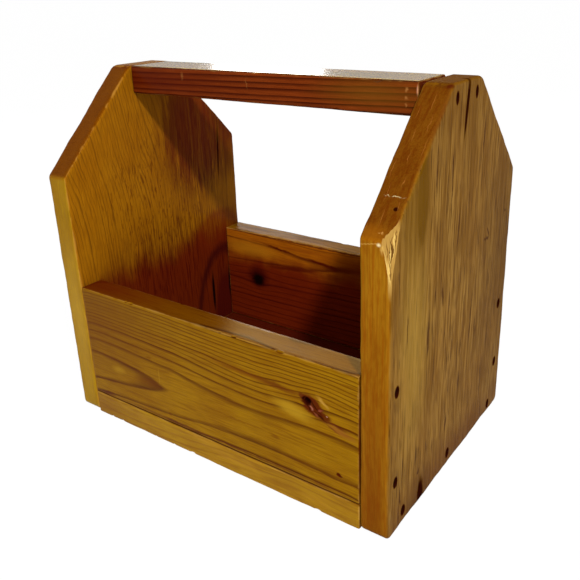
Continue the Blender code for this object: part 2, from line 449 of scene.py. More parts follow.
def through_points(tree, value, points):
    """An output that follows (input, output) points, joined by a smooth line."""
    xs, ys = [p[0] for p in points], [p[1] for p in points]
    x_low, x_high, y_low = min(xs), max(xs), min(ys)
    y_span = max(max(ys) - y_low, 1e-6)
    line = add(tree, "FloatCurve", Value=add(tree, "MapRange", value, x_low, x_high))
    curve = line.node.mapping.curves[0]
    while len(curve.points) < len(points):
        curve.points.new(0.5, 0.5)
    for point, (x, y) in zip(curve.points, points):
        point.location = (x - x_low) / (x_high - x_low), (y - y_low) / y_span
    line.node.mapping.update()
    return add(tree, "MapRange", line, 0.0, 1.0, y_low, y_low + y_span)


def new_material(name):
    material = bpy.data.materials.new(name)
    material.use_nodes = True
    material.node_tree.nodes.clear()
    return material


def from_centre(tree, place, centre, sizes, turn=0.0):
    """How far a place is from an oval's centre: 1 on its rim. sizes are half sizes, turn is in degrees."""
    near = add(tree, "Mapping TEXTURE", place, centre, (0.0, 0.0, math.radians(turn)), sizes)
    return add(tree, "VectorMath LENGTH", near)


def varnished_pine(look):
    """Pine sawn from a log whose pith lies along the board, under a thin old amber varnish.

    Growth rings are distances from the pith, in mm, so that every face of the board shows the
    same log: long flames on a flat-sawn face, close lines on a quarter-sawn one and arcs on an
    end. The eye sees gold early wood, brown late wood lines and a soft warm shine.
    """
    material = new_material("varnished pine, " + look.name)
    tree = material.node_tree
    node = partial(add, tree)
    facing = node("NewGeometry", out="Normal")
    shares = {}

    def fold(kind, values):
        """All the values, joined two by two by nodes of one kind."""
        return reduce(partial(node, kind), values)

    def facing_share(direction, none=0.55, full=0.9):
        """1 where a surface faces the direction. Each share is made once, to keep the shader small."""
        key = (direction, none, full)
        if key not in shares:
            shares[key] = node("MapRange", node("VectorMath DOT_PRODUCT", facing, direction), none, full)
        return shares[key]

    def grain(vector, size_mm, detail=2.0, rough=0.5, out=None):
        """Noise whose forms have a size in mm along, across and through the board."""
        sized = node("VectorMath MULTIPLY", vector, [1 / s for s in size_mm])
        return node("TexNoise", sized, 1.0, detail, rough, out=out)

    def shaken(vector, size_mm, spread_mm, detail=2.0):
        """The vector, shifted by noise that spreads it over spread_mm."""
        shift = node("VectorMath SUBTRACT", grain(place, size_mm, detail, out="Color"), (0.5, 0.5, 0.5))
        return node("VectorMath ADD", vector, node("VectorMath MULTIPLY", shift, spread_mm))

    def within(centre, reach_mm, full):
        """full at the centre of an oval pillar through the board, and 0 from its rim on."""
        through_all_mm = 400.0
        far = from_centre(tree, place, centre, (*reach_mm, through_all_mm))
        return node("MapRange SMOOTHSTEP", far, 1.0, 0.0, 0.0, full)

    # Place in mm: along the grain, across the face, through the board
    place_mm = node("VectorMath SCALE", node("TexCoord", out="Object"), 1 / MM)
    axes = node("SeparateXYZ", place_mm).node.outputs
    place = node("CombineXYZ", *(axes["xyz".index(letter)] for letter in look.axes))

    # Grain that waves slowly, with a fine tremble in each line
    shifted = place
    for size, reach in look.waves:
        shifted = shaken(shifted, size, (0.0, 2 * reach, 2 * reach), 1.0)
    along, across, through = node("SeparateXYZ", shifted).node.outputs

    # Lines that flow round a knot, and lines that sag
    for centre, reach, push in look.deflect:
        off = node("Math SUBTRACT", across, centre[1])
        across = node("Math SUBTRACT", across, node("Math MULTIPLY", off, within(centre, reach, push)))
    for centre, reach, sag in look.sags:
        across = node("Math ADD", across, within(centre, reach, sag))

    # Growth rings, of uneven width and strength, with lines that fade and gather along the grain
    uneven_reach_mm, start_spread = 4.5, 0.10
    pith_across = through_points(tree, along, look.pith_across)
    pith_through = through_points(tree, along, look.pith_through)
    if look.lean:
        still = look.pith_across[0][1]
        share = node("MapRange SMOOTHSTEP", across, *look.lean, 1.0, 0.0)
        pith_across = node("Math MULTIPLY_ADD", node("Math SUBTRACT", pith_across, still), share, still)
    arm = node("CombineXYZ", 0.0, node("Math SUBTRACT", across, pith_across),
               node("Math SUBTRACT", through, pith_through))
    radius = node("VectorMath LENGTH", arm)
    uneven = node("TexNoise 1D", node("Math MULTIPLY", radius, 1 / uneven_reach_mm), 1.0, 0.0)
    radius = node("Math MULTIPLY_ADD", node("Math SUBTRACT", uneven, 0.5), look.ring_uneven, radius)
    ring = through_points(tree, radius, look.rings)
    year, season = node("Math FLOOR", ring), node("Math FRACT", ring)
    year_noise = node("TexWhiteNoise 1D", year)
    width_noise = node("TexWhiteNoise 1D", node("Math ADD", year, 0.37))
    start = node("MapRange", width_noise, 0.0, 1.0, look.late_start - start_spread,
                 look.late_start + start_spread)
    rise = node("MapRange SMOOTHSTEP", season, start, 0.93)
    fall = node("MapRange", season, 0.95, 1.0, 1.0, 0.0)
    depth = node("MapRange", year_noise, 0.0, 1.0, look.line_faint, look.line_bold)
    gather = node("MapRange", grain(shifted, (48, 7, 7)), 0.35, 0.6, look.line_gaps, 1.0)

    # Lines are faint where the saw crossed the grain, and on sides that show none
    end_share = node("VectorMath DOT_PRODUCT", facing, [float(letter == look.axes[0]) for letter in "xyz"])
    end_share = node("MapRange", node("Math ABSOLUTE", end_share), 0.3, 0.75)
    kept = [node("MapRange", end_share, 0.0, 1.0, 1.0, look.end_lines)]
    kept += [node("Math SUBTRACT", 1.0, facing_share(direction)) for direction in look.plain]
    late = fold("Math MULTIPLY", (rise, fall, depth, gather, *kept))

    # Mottled early wood, its late wood lines, and its fibres, drawn 0.7 mm wide so that they show
    blotch = node("MapRange", grain(place, (46, 30, 30), 3.0, 0.6), 0.35, 0.68)
    colour = node("Mix", blotch, look.early, look.early_deep)
    colour = node("Mix", late, colour, look.late)
    fibre = grain(shifted, (16, 0.7, 0.7), 3.0, 0.65)
    colour = node("Mix", node("MapRange", fibre, 0.42, 0.70, 0.0, look.fibre), colour, look.late)
    colour = node("Mix", node("MapRange", fibre, 0.44, 0.26, 0.0, look.fibre * 0.6), colour, look.pale)

    # Stained bands, resin streaks and flecks
    streaks = []
    for own in look.layers:
        share = node("MapRange", grain(shifted, own.size), own.low, own.high, 0.0, own.strength)
        if own.within:
            near = node("MapRange SMOOTHSTEP", from_centre(tree, place, *own.within), 1.0, 0.4)
            share = node("Math MULTIPLY", share, near)
        if own.toward:
            share = node("Math MULTIPLY", share, facing_share(own.toward, 0.5, 0.8))
        colour = node("Mix", share, colour, linear(own.colour))
        if own.size[1] < 3:
            streaks.append(share)

    # Sides tinted lighter or darker by where they face: partly painted light and shade on each side, partly
    # varnish that took differently
    for direction, tint in look.sides:
        colour = node("Mix MULTIPLY", facing_share(direction), colour, tint)

    # End grain drinks more varnish, turns darker and shows its pores
    colour = node("Mix MULTIPLY", end_share, colour, look.end_tint)
    pores = node("MapRange", grain(place, (2.4, 0.8, 0.8), 3.0, 0.6), 0.46, 0.64, 0.0, 0.22)
    colour = node("Mix MULTIPLY", node("Math MULTIPLY", pores, end_share), colour, (0.42, 0.30, 0.25))

    # Painted shade inside the tray: its walls turn darker and redder towards its bottom, with an uneven upper
    # edge
    tide_mm = 34.0
    inside = []
    for axis, (low, high) in zip(axes, INSIDE_MM):
        inside += [node("Math GREATER_THAN", axis, low), node("Math LESS_THAN", axis, high)]
    tide = node("Math SUBTRACT", grain(place_mm, (24, 24, 40), 3.0), 0.5)
    height = node("Math MULTIPLY_ADD", tide, tide_mm, axes[2])
    dirt = node("MapRange SMOOTHSTEP", height, *look.dirt_mm)
    dirt = node("Math MULTIPLY", dirt, fold("Math MULTIPLY", inside))
    colour = node("Mix MULTIPLY", dirt, colour, look.dirt)
    colour = node("Mix", node("Math MULTIPLY", dirt, 0.45), colour, look.dirt_deep)

    # Worn edges, where the two nearest sides are both close: pale bare wood that also paints the edges'
    # highlights
    gaps = []
    for axis, (low, high) in zip(axes, look.box_mm):
        off = node("Math ABSOLUTE", node("Math SUBTRACT", axis, (low + high) / 2))
        gaps.append(node("Math SUBTRACT", (high - low) / 2, off))
    if look.sawn_corners:
        high_y, high_z = look.box_mm[1][1], look.box_mm[2][1]
        total = node("Math ADD", node("Math ABSOLUTE", axes[1]), axes[2])
        sawn = node("Math SUBTRACT", high_y + high_z - CORNER_CUT_MM, total)
        gaps[1] = node("Math MINIMUM", gaps[1], node("Math MULTIPLY", sawn, math.sqrt(0.5)))
    nearer, farther = node("Math MINIMUM", *gaps[:2]), node("Math MAXIMUM", *gaps[:2])
    edge_gap = node("Math MAXIMUM", nearer, node("Math MINIMUM", farther, gaps[2]))
    wear_reach = node("MapRange", grain(place, (16, 7, 7), 3.0, 0.7), 0.36, 0.66, 0.35, look.wear_mm)
    wear = node("MapRange", node("Math DIVIDE", edge_gap, wear_reach), 1.0, 0.35, 0.0, look.wear)
    colour = node("Mix", wear, colour, look.bare)

    # Marks, most of them with ragged edges
    ragged_place = shaken(place, (6, 2.5, 2.5), (5.0, 2.2, 2.2))
    matt = []
    for own in look.marks:
        far = from_centre(tree, ragged_place if own.ragged else place, own.centre, own.sizes, own.turn)
        limits = (1.0, 1.0 - own.soft)
        if own.ring:
            far, limits = node("Math ABSOLUTE", node("Math SUBTRACT", far, 1.0)), (own.ring, 0.0)
        share = node("MapRange SMOOTHSTEP", far, *limits, 0.0, own.strength)
        if own.toward:
            share = node("Math MULTIPLY", share, facing_share(own.toward, 0.80, 0.92))
        tint = linear(own.colour)
        colour = node("Mix", share, colour, tint)
        strong, dark = own.strength > 0.85, max(tint) < 0.1
        if strong and dark:
            matt.append(share)

    # A warm shine, duller over pores, edges and end grain, and none in dark pits
    relief_mm = 0.12
    dull = node("MapRange", fibre, 0.3, 0.7, look.rough - 0.05, look.rough + 0.09)
    dull = node("Math ADD", dull, node("MapRange", edge_gap, 0.5, 1.6, 0.4, 0.0))
    dull = node("Math MULTIPLY_ADD", end_share, 0.3, dull)
    if matt:
        dull = node("Math MULTIPLY_ADD", fold("Math MAXIMUM", matt), 0.8, dull, use_clamp=True)
    rise_mm = node("Math MULTIPLY_ADD", late, 0.7, fibre)
    if streaks:
        rise_mm = node("Math MULTIPLY_ADD", fold("Math MAXIMUM", streaks), -1.2, rise_mm)
    bump = node("Bump", Height=rise_mm, Strength=look.relief, Distance=relief_mm * MM)
    node("OutputMaterial", node("BsdfPrincipled", Base_Color=colour, Roughness=dull, Normal=bump, IOR=1.5,
                                Specular_IOR_Level=look.gloss, Specular_Tint=AMBER_SHINE))
    return material


def rusty_steel(name, rust):
    """Common nail head, rusted and dark with old polish in its recess: matt, almost black."""
    material = new_material(name)
    node = partial(add, material.node_tree)
    pits = node("TexNoise", node("TexCoord", out="Object"), 1 / (0.6 * MM), 4.0)
    colour = node("Mix", node("MapRange", pits, 0.4, 0.65), rust, linear("#2C1006"))
    rough = node("MapRange", pits, 0.3, 0.7, 0.75, 0.95)
    bump = node("Bump", Height=pits, Strength=0.5, Distance=0.1 * MM)
    node("OutputMaterial", node("BsdfPrincipled", Base_Color=colour, Roughness=rough, Normal=bump,
                                Specular_IOR_Level=0.02))
    return material


def times(colour, factor):
    """A linear colour, darker or lighter."""
    return tuple(min(1.0, c * f) for c, f in zip(colour, factor))


def marks_at(through, *rows):
    """Marks at one depth of a board, one from each row.

    A row holds the place along and across the board, the half sizes along, across and through
    it, the colour and the strength. It may go on with the softness, the turn in degrees and
    whether the edge is ragged.
    """
    return [Mark((*row[:2], through), row[2:5], *row[5:]) for row in rows]


def board_look(name, node, axes, wood, **own):
    """Values that all boards share, with a board's own put over them."""
    colours = bpy.context.scene.caddy_colours
    early, line = (tuple(getattr(colours, key)) for key in (wood, wood + "_line"))
    look = SimpleNamespace(
        name=name, axes=axes, box_mm=[(a / MM, b / MM) for a, b in zip(*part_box(node))], sawn_corners=False,
        early=early, early_deep=times(early, (0.84, 0.76, 0.66)), late=line,
        pale=times(early, (1.3, 1.4, 1.8)), bare=tuple(colours.bare),
        waves=(((170, 34, 34), 3.0), ((26, 5, 5), 0.35)), deflect=(), sags=(), lean=None,
        ring_uneven=2.2, late_start=0.6, line_faint=0.45, line_bold=0.9, line_gaps=0.6, fibre=0.35,
        layers=(), sides=(), plain=(), marks=(), end_tint=(0.55, 0.42, 0.35), end_lines=0.3,
        # Painted shade in the tray: how dark and red it turns, and the heights in mm where it starts and
        # where it is full
        dirt=(0.56, 0.22, 0.50), dirt_deep=linear("#5A1008"), dirt_mm=(122.0, 92.0),
        # Pale worn edges, partly painted highlight: strength, and reach in mm
        wear=0.40, wear_mm=1.5, rough=0.24, relief=0.35, gloss=0.04)
    vars(look).update(own)
    return look


def front_look():
    pale = times(bpy.context.scene.caddy_colours.front, (1.38, 1.6, 4.5))
    brown, red, bark, black, face = "#663200", "#4A1204", "#561E06", "#2A0A02", -92
    marks = [
        Mark((-121, 80, face), (120, 66, 30), brown, 0.6, 1, ragged=False, toward=FRONT),
        # Darker red over the left half of the top: partly a painted reflection of the dark left end
        Mark((-121, 108, -82), (120, 5, 30), "#5A1404", 0.75, 0.9, ragged=False, toward=UP),
    ] + marks_at(
        face,
        (73, 70, 21, 7.5, 9, pale, 0.75, 0.8, -8),
        (-80, 98, 100, 13, 9, "#744804", 0.5, 1),
        (40, 84, 56, 2.8, 9, "#6A3002", 0.6, 0.9, -2),
        (62, 83.6, 26, 2.8, 9, "#623004", 0.8, 0.9, -4),
        (87.8, 78, 10.6, 7.2, 9, bark, 0.97, 0.35, -35),
        (96.3, 72.8, 6.8, 4.4, 9, bark, 0.9, 0.6, -15),
        (80.5, 83, 4.4, 2.4, 9, bark, 0.8, 0.6, -20),
        (90, 78.2, 9, 1.1, 9, black, 0.8, 0.8, -48),
        (94, 72.4, 7.5, 0.8, 9, black, 0.8, 0.8, -30),
        (85.5, 75.6, 6, 0.8, 9, black, 0.8, 0.8, -50),
        (106, 69.6, 11, 1.3, 9, bark, 0.85, 0.8, -12),
        (102, 66.6, 9, 0.9, 9, bark, 0.75, 0.8, -18),
        (95.6, 83, 7, 2, 9, "#C49438", 0.7, 1, -44),
        (108, 66.5, 15, 3.4, 9, "#8A4A20", 0.5, 0.9, -13),
        (87.4, 76.6, 3.2, 1.3, 9, "#A0624A", 0.85, 0.8, -55),
        (93.6, 76.4, 2.6, 1, 9, "#8A4630", 0.8, 0.8, 20),
        (91, 72.8, 3.4, 1, 9, "#8A4A30", 0.6, 0.8, -28),
        (97.8, 74, 0.9, 0.9, 9, "#C89478", 0.75, 0.8),
        # The knot hole, painted near black inside: painted shade deep in the hole
        (84, 80.3, 4, 3.8, 12, "#220402", 1, 0.4),
        (106.5, 35.4, 2.8, 1.7, 8, red, 0.95, 0.5),
        (58, 44.4, 4.5, 1.9, 5, brown, 0.55, 0.8),
        (35, 45.6, 76, 0.9, 5, brown, 0.45, 0.9),
        (-58, 47.2, 22, 5.2, 6, brown, 0.55, 0.8, 2),
        (-90, 47.5, 11, 4.5, 5, pale, 0.4, 0.9),
        (-38.5, 26.8, 2.4, 1.7, 3, brown, 0.5),
        (-55, 68.4, 4, 1.6, 3, brown, 0.5, 0.8),
        (-46, 55.5, 0.7, 8.5, 3, pale, 0.35, 0.6, 0, False),
        (-33, 21.4, 18, 2, 3, red, 0.7, 0.8),
        (-108, 21.5, 16, 2.6, 3, red, 0.75, 0.9, 6),
        (0, 19, 400, 1.7, 6, "#3C1202", 0.93, 0.55, 0, False),
        (15, 21.8, 150, 1.5, 3, "#562404", 0.75, 0.9),
        (121.2, 60, 1.3, 70, 3, red, 0.9, 0.6, 0, False),
    )
    return board_look(
        "front", "front_board", "xzy", "front", ring_uneven=1, late_start=0.6,
        line_faint=0.75, line_bold=1, line_gaps=0.75, fibre=0.3, rough=0.17, wear=0.25, gloss=0.032,
        pith_across=[(-121, 43.5), (-41, 46), (39, 45.8), (79, 46.8), (121, 45)],
        pith_through=[(-121, face + 5), (-41, face + 13.9), (39, face + 20.3), (79, face + 19.3),
                      (121, face + 19.3)],
        rings=[(0, 0), (13.9, 1), (24.3, 2), (31, 3)] + [(37.4 + 2.75 * k, 4 + k) for k in range(20)],
        waves=(((150, 60, 60), 1), ((30, 9, 9), 0.5), ((13, 4, 4), 0.22)),
        sags=(((42, 77, face), (80, 14), 2.8), ((96, 90, face), (24, 16), -1.6)),
        deflect=(((88, 79, face), (26, 13), 0.3), ((106.5, 35.4, face), (20, 9), 0.5)),
        layers=(Layer((30, 1.6, 1.6), 0.54, 0.68, 0.35, brown), Layer((90, 9, 9), 0.5, 0.66, 0.18, brown)),
        sides=((UP, (0.52, 0.36, 0.15)),),
        marks=marks)


def back_look():
    face = 73
    return board_look(
        "back", "back_board", "xzy", "back",
        pith_across=[(-121, 88.5), (-37, 88), (5, 89.5), (121, 92)],
        pith_through=[(-121, face + 5), (-37, face + 10.4), (12, face + 12.4), (121, face + 14)],
        rings=[(0, 0), (12.5, 1)] + [(20 + 5.2 * k, 2 + k) for k in range(16)],
        line_faint=0.6, line_bold=1, ring_uneven=1.4, late_start=0.66, gloss=0.01, rough=0.42,
        waves=(((150, 60, 60), 1.5), ((30, 9, 9), 0.7), ((13, 4, 4), 0.25)),
        # The painted shade in the tray starts lower on the back board
        deflect=(((-85, 62, face), (34, 18), 0.6),), dirt_mm=(94, 72),
        layers=(Layer((60, 6, 6), 0.48, 0.62, 0.35, "#8A3A0C"),),
        sides=((UP, (0.55, 0.8, 0.5)), (BACK, (0.66, 0.82, 0.8))),
        marks=marks_at(
            face,
            (-92, 91, 46, 11, 6, "#C88418", 0.6, 0.9),
            # Painted shade: darker red where the right end's shadow falls on the back board
            (40, 92, 66, 22, 6, "#641A02", 0.85, 0.8),
            (-85, 64.5, 16, 15, 14, "#400806", 0.9, 0.7),
            (-85, 62, 9.2, 8.4, 14, "#140403", 1, 0.6),
            (-58, 96.6, 30, 1.7, 6, "#541004", 0.9, 0.8, -7),
            (-14, 91.8, 28, 2, 6, "#541004", 0.9, 0.8, -6),
            (6, 90.2, 26, 3.8, 6, "#5A1406", 0.7, 0.8, 4),
            (-45, 80.5, 42, 2.8, 6, "#5A1406", 0.85, 0.8, 6),
            (0, 106.2, 170, 1, 3, "#4A120A", 0.8, 0.6),
        ))


def base_look():
    brown = "#7A4A12"
    return board_look(
        "bottom", "base_board", "xyz", "base",
        pith_across=[(-121, -104), (0, -96), (121, -84)],
        pith_through=[(-121, -9), (0, -4), (121, 2)],
        rings=[(4.6 * k, k) for k in range(46)],
        # Deeper painted shade on the tray's floor
        line_faint=0.2, line_bold=0.7, fibre=0.4, dirt=(0.22, 0.07, 0.2),
        waves=(((90, 30, 30), 4), ((20, 6, 6), 0.5)),
        sides=((BACK, (0.95, 0.78, 0.5)), (DOWN, (0.95, 0.85, 0.7))),
        layers=(Layer((34, 3, 3), 0.5, 0.66, 0.4, brown), Layer((50, 8, 8), 0.52, 0.66, 0.35, "#C08E28")),
        marks=(Mark((-121, -92, 8), (75, 10, 20), brown, 0.45, 1),
               Mark((0, -92, 19.4), (400, 6, 1.2), "#4A1604", 0.9, ragged=False)))


def left_look():
    dark, brown, red, black, inner = "#340C04", "#521A04", "#30060A", "#160304", -121
    marks = [
        # Painted shade: the zone behind the handle's cast shadow made darker and redder, then a painted
        # shadow over the rear top
        Mark((213, 50, inner), (72, 60, 4), "#662006", 0.7, 0.7, toward=RIGHT),
        Mark((228, 82, inner), (52, 30, 4), "#3A1602", 0.75, 0.7, toward=RIGHT),
    ] + marks_at(
        inner,
        (181.5, 70, 32, 1.25, 4, dark, 1, 0.5, 3.8, False),
        (226, -27.5, 8, 0.9, 3, brown, 0.6, 0.8, 10),
        # Painted shade along the rear edge
        (205, 94, 75, 27, 4, brown, 0.85, 0.9),
        # Painted shade: the dark red low zone reaching higher near the back
        (106, 64, 26, 34, 4, "#6A2006", 0.6, 0.35),
        (14, 66, 75, 37, 4, red, 0.7, 0.6, 0, True, 0.13),
        (14, 66, 60, 17, 4, "#40040A", 0.65, 0.3),
        (50, 50.5, 26, 2.4, 4, black, 1, 0.6, 0, False),
        (52, 74, 24, 3, 4, black, 0.95, 0.7),
    ) + [Mark((80, -92, -130), (95, 4, 16), "#D8B050", 0.2, 1, ragged=False)]
    return board_look(
        "left end", "left_end", "zyx", "left", sawn_corners=True,
        bare=linear("#BE8834"), wear=0.5, wear_mm=2.2,
        pith_across=[(0, -190), (110, -190), (150, -192), (200, -202), (264, -216)],
        pith_through=[(0, -128), (264, -124)], lean=(-25, 45),
        rings=[(80 + 3 * k, k) for k in range(75)],
        line_faint=0.35, line_bold=0.8, line_gaps=0.5, fibre=0.4, ring_uneven=2,
        waves=(((110, 26, 26), 3), ((30, 8, 8), 1.3), ((11, 4, 4), 0.6)), gloss=0.024, plain=(FRONT,),
        layers=(
            # The first three layers are painted shade: brown and red streaks that deepen the zone behind the
            # handle's cast shadow
            Layer((70, 7, 7), 0.36, 0.56, 0.7, brown, ((204, 48, inner), (84, 66, 40)), RIGHT),
            Layer((34, 1.8, 1.8), 0.47, 0.59, 0.8, dark, ((204, 48, inner), (78, 52, 40)), RIGHT),
            Layer((16, 1.3, 1.3), 0.54, 0.64, 0.7, red, ((204, 48, inner), (78, 56, 40)), RIGHT),
            Layer((10, 1.5, 1.5), 0.58, 0.66, 0.6, brown, ((160, -5, inner), (75, 80, 40)), RIGHT),
            Layer((7, 1.8, 1.8), 0.64, 0.7, 0.6, brown, ((150, 0, inner), (70, 80, 40)), RIGHT),
            Layer((30, 1.4, 1.4), 0.49, 0.6, 0.7, "#4A1408", ((96, 20, inner), (60, 120, 40)), RIGHT),
            Layer((70, 14, 14), 0.48, 0.64, 0.4, brown, toward=LEFT),
            Layer((24, 1.6, 1.6), 0.58, 0.68, 0.55, brown, toward=LEFT),
        ),
        marks=marks,
        sides=((FRONT, (1.17, 1.85, 3)), (FRONT_SLOPE, (0.8, 0.58, 0.3)), (BACK_SLOPE, (0.8, 0.62, 0.4)),
               (BACK, (1, 0.84, 0.6)), (LEFT, (0.95, 0.95, 1))))


def right_look():
    outer, front = 140, -92
    broken = (0.673, -0.714, 0.19)
    brown, black, tan, olive, rusty = "#422206", "#2A0A02", "#64400E", "#664400", "#5A3210"
    marks = marks_at(
        outer,
        (262, 10, 75, 80, 4, tan, 0.5, 1),
        (130, 100, 160, 95, 4, "#4E300C", 0.6, 1),
        (165, 10, 22, 44, 4, tan, 0.45, 1))
    marks += [Mark((120, -62, outer), (105, 30, 4), "#A88434", 0.45, 1, toward=RIGHT),
              Mark((207, -56, outer), (32, 7.5, 4), "#583800", 0.75, 0.3, toward=RIGHT),
              Mark((205, -66, outer), (52, 30, 4), olive, 0.55, 0.9, toward=RIGHT)]
    marks += marks_at(outer, (0, 0, 34, 150, 5, rusty, 0.65, 0.8), (2, -50, 34, 24, 5, brown, 0.4, 0.7))

    # Dark streaks and short flecks of the outer face: place, half sizes and turn
    marks += marks_at(outer, *((*row[:4], 4, brown, 0.85, 0.6, row[4]) for row in (
        (100, 24, 30, 1.2, 3), (225, 30, 22, 1.1, 2), (213, -17, 14, 1.1, 0), (198, -17.2, 14, 0.9, 5),
        (174, -4.5, 21, 1.2, 4), (136.5, -24, 10, 1.5, -10), (84, -13.5, 15, 1.3, 2), (85, 7, 9, 0.9, 0),
        (38, -10.5, 9, 1.5, 5), (213, -39, 16, 1.2, 0), (133, -71, 14, 0.8, 0), (119, -43, 20, 2, 0),
        (23, -76, 9, 1.2, -6), (25, -51, 3, 1.6, 30), (157, 48, 6, 1.3, -30), (152, 46, 1.6, 7, 0),
        (163, 80, 1.4, 2.2, 0))))
    marks += marks_at(
        outer,
        (1, -47.2, 20, 5.2, 6, black, 1, 0.4),
        (12, -58, 10, 7, 4, "#6E4A1C", 0.5, 0.8),
        (250, 0, 26, 2.6, 9, black, 1, 0.45, 7, False))
    marks += [
        Mark((206.1, -78.4, 135), (1.5, 1.5, 1.7), black, 1, 0.4, ragged=False),
        Mark((211.2, -73.2, 131.5), (0.55, 0.55, 8), "#D8C48C", 0.6),
        Mark((262, -22, 138), (2.4, 3.4, 4), "#4A1404", 0.85, 0.8, ragged=False),
        Mark((0, front, 130), (185, 4, 16), "#6A3006", 0.7, 1, ragged=False),
        Mark((247, -37, 139.6), (32, 2.6, 2.6), "#64340A", 0.75, 0.9, 45),
        Mark((186, -88.5, 137), (30, 9, 9), "#AC8440", 0.95, 0.3, toward=broken),
        Mark((196, -91, 128), (10, 9, 13), "#94560A", 0.6, 0.9, toward=FRONT_SLOPE),
        # Painted highlight: a bright spot at the broken corner's edge
        Mark((190.2, front, 132.6), (1.5, 2.4, 1.9), "#F6E2AC", 0.9, 1, ragged=False),
        Mark((188, front, 134.6), (3.4, 2.4, 2), "#D8AC58", 0.7, 1),
        # Painted highlight along the broken corner's left border
        Mark((178, front, 137.4), (14, 1.2, 6), "#D8B464", 0.8, 0.8, toward=broken),
        Mark((195.7, -88.8, 132.4), (0.6, 0.9, 2.4), "#D8A050", 0.6, 0.9)]
    # Painted highlights: a row of small pale dots just below the front slope
    marks += [Mark((189 + 0.4 * k, front, 122.5 + 2.1 * k), (0.5, 1.2, 1.9), "#D8A850", 0.5, 1,
                   ragged=False) for k in range(5)]

    # Fibres of the broken corner: height, place across, half length, turn and colour
    fibres = ((186, -88.4, 13, 11, "#4A2606"), (181, -90, 13, 7, "#4A2606"), (192, -86, 9, 15, "#5A3408"),
              (188, -90, 7, 9, "#6A4010"), (184, -89.3, 9, 9, "#D8B464"), (190, -87, 9, 13, "#D8B464"),
              (176, -91.2, 9, 4, "#D8B464"))
    marks += [Mark((z, y, 138), (reach, 0.3, 6), shade, 0.85, 0.6, turn, toward=broken)
              for z, y, reach, turn, shade in fibres]

    # Fine pale lines down the front slope
    marks += [Mark((197 + 5.2 * k, -87.5 + 5.2 * k, 122.5 + 6.7 * k % 16), (4 + 3.7 * k % 7, 3, 0.3),
                   "#B87430", 0.4, 0.9, 45, toward=FRONT_SLOPE) for k in range(12)]
    for name in (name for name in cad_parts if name.startswith("nail_right")):
        low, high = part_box(name)
        marks.append(Mark(((low.z + high.z) / 2 / MM, (low.y + high.y) / 2 / MM, outer),
                          (4.7, 1.4 * mouth_mm(name), 9), "#300C04", 1, 0.28, ragged=False))
    return board_look(
        "right end", "right_end", "zyx", "right", sawn_corners=True,
        pith_across=[(0, -22), (130, -14), (264, -20)], pith_through=[(0, 52), (264, 50)],
        rings=[(60 + 1.3 * k, k) for k in range(110)], ring_uneven=2,
        line_faint=0.1, line_bold=0.5, line_gaps=0.6, marks=marks, rough=0.36, gloss=0.005, fibre=0.32,
        bare=linear("#905E08"), wear=0.42, wear_mm=2.6,
        layers=(Layer((70, 16, 16), 0.46, 0.62, 0.35, tan, toward=RIGHT),
                Layer((24, 9, 9), 0.54, 0.66, 0.3, brown, toward=RIGHT),
                Layer((60, 3, 3), 0.48, 0.62, 0.62, tan, toward=RIGHT),
                Layer((28, 1.6, 1.6), 0.51, 0.62, 0.8, tan, toward=RIGHT),
                Layer((26, 1.3, 1.3), 0.6, 0.67, 0.8, "#3A1C06", toward=RIGHT),
                Layer((9, 9, 2.2), 0.46, 0.62, 0.38, "#6A2C04", toward=FRONT_SLOPE),
                Layer((60, 1.2, 1.2), 0.5, 0.62, 0.35, "#7A3A06", toward=FRONT)),
        sides=((FRONT, (1.2, 1.08, 0.3)), (FRONT_SLOPE, (1.04, 0.82, 0.4)), (BACK_SLOPE, (1.04, 0.82, 0.4)),
               (BACK, (1.1, 0.9, 0.4)), (LEFT, (1.06, 0.86, 0.42)), (UP, (0.82, 0.9, 0.9))))


def handle_look():
    scuff = "#B4783C"
    return board_look(
        "handle", "handle", "xzy", "handle",
        pith_across=[(-121, 180), (0, 181.5), (121, 184)], pith_through=[(-121, -2), (121, -6)],
        rings=[(3.7 * k, k) for k in range(58)], ring_uneven=0.8, late_start=0.3,
        line_faint=0.9, line_bold=1, line_gaps=0.8, rough=0.2, gloss=0.032, wear=0.25,
        sides=((UP, (0.4, 0.5, 0.65)),), waves=(((120, 26, 26), 0.8), ((24, 5, 5), 0.2)),
        marks=marks_at(
            -20,
            (-121, 254, 170, 16, 6, "#501002", 0.7, 1, 0, False),
            (90, 255, 60, 14, 6, "#744810", 0.55, 1, 0, False),
            (110, 258.5, 1.3, 2, 4, scuff, 0.6, 0.9),
            (110.3, 253.5, 1.6, 1.6, 4, scuff, 0.6, 0.9),
            (110, 249.5, 1.3, 1.6, 4, scuff, 0.5, 0.9),
            (-9, 256, 0.7, 6, 4, scuff, 0.25, 0.9),
            (-68, 258, 1.8, 4, 4, scuff, 0.25, 0.9),
        # Painted highlight on the rounded edge of the handle's right end
        ) + [Mark((117.2, 258.5, -19.5), (0.7, 4.2, 3), "#E4A47C", 0.8, 1, ragged=False)])


# Operators, one for each piece or group of like pieces

def nails_of(*words):
    """Names of the frame's nails whose names hold one of the words."""
    nails = [name for name in sorted(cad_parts) if name.startswith("nail_")]
    return [name for name in nails if any(word in name for word in words)]


def make_straight(node, name, look, nails, number, arris_mm, dented=("high",), dent_count=9, pits=(),
                  step_mm=1.6):
    """Make one of the boards along X. number sets its seeds apart, and dented names its knocked edges."""
    seed = bpy.context.scene.caddy_shape.seed + number
    low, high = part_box(node)
    board = straight_board(name, low, high, arris_mm, seed, step_mm)
    bm = bmesh.new()
    nail_holes(bm, nails)
    for centre, radii, own_seed in pits:
        pit(bm, centre, radii, own_seed)
    dents(bm, low, high, dent_count, seed + 11, [{"low": low.z, "high": high.z}[edge] for edge in dented])
    return finish_board(board, bm, node, look)


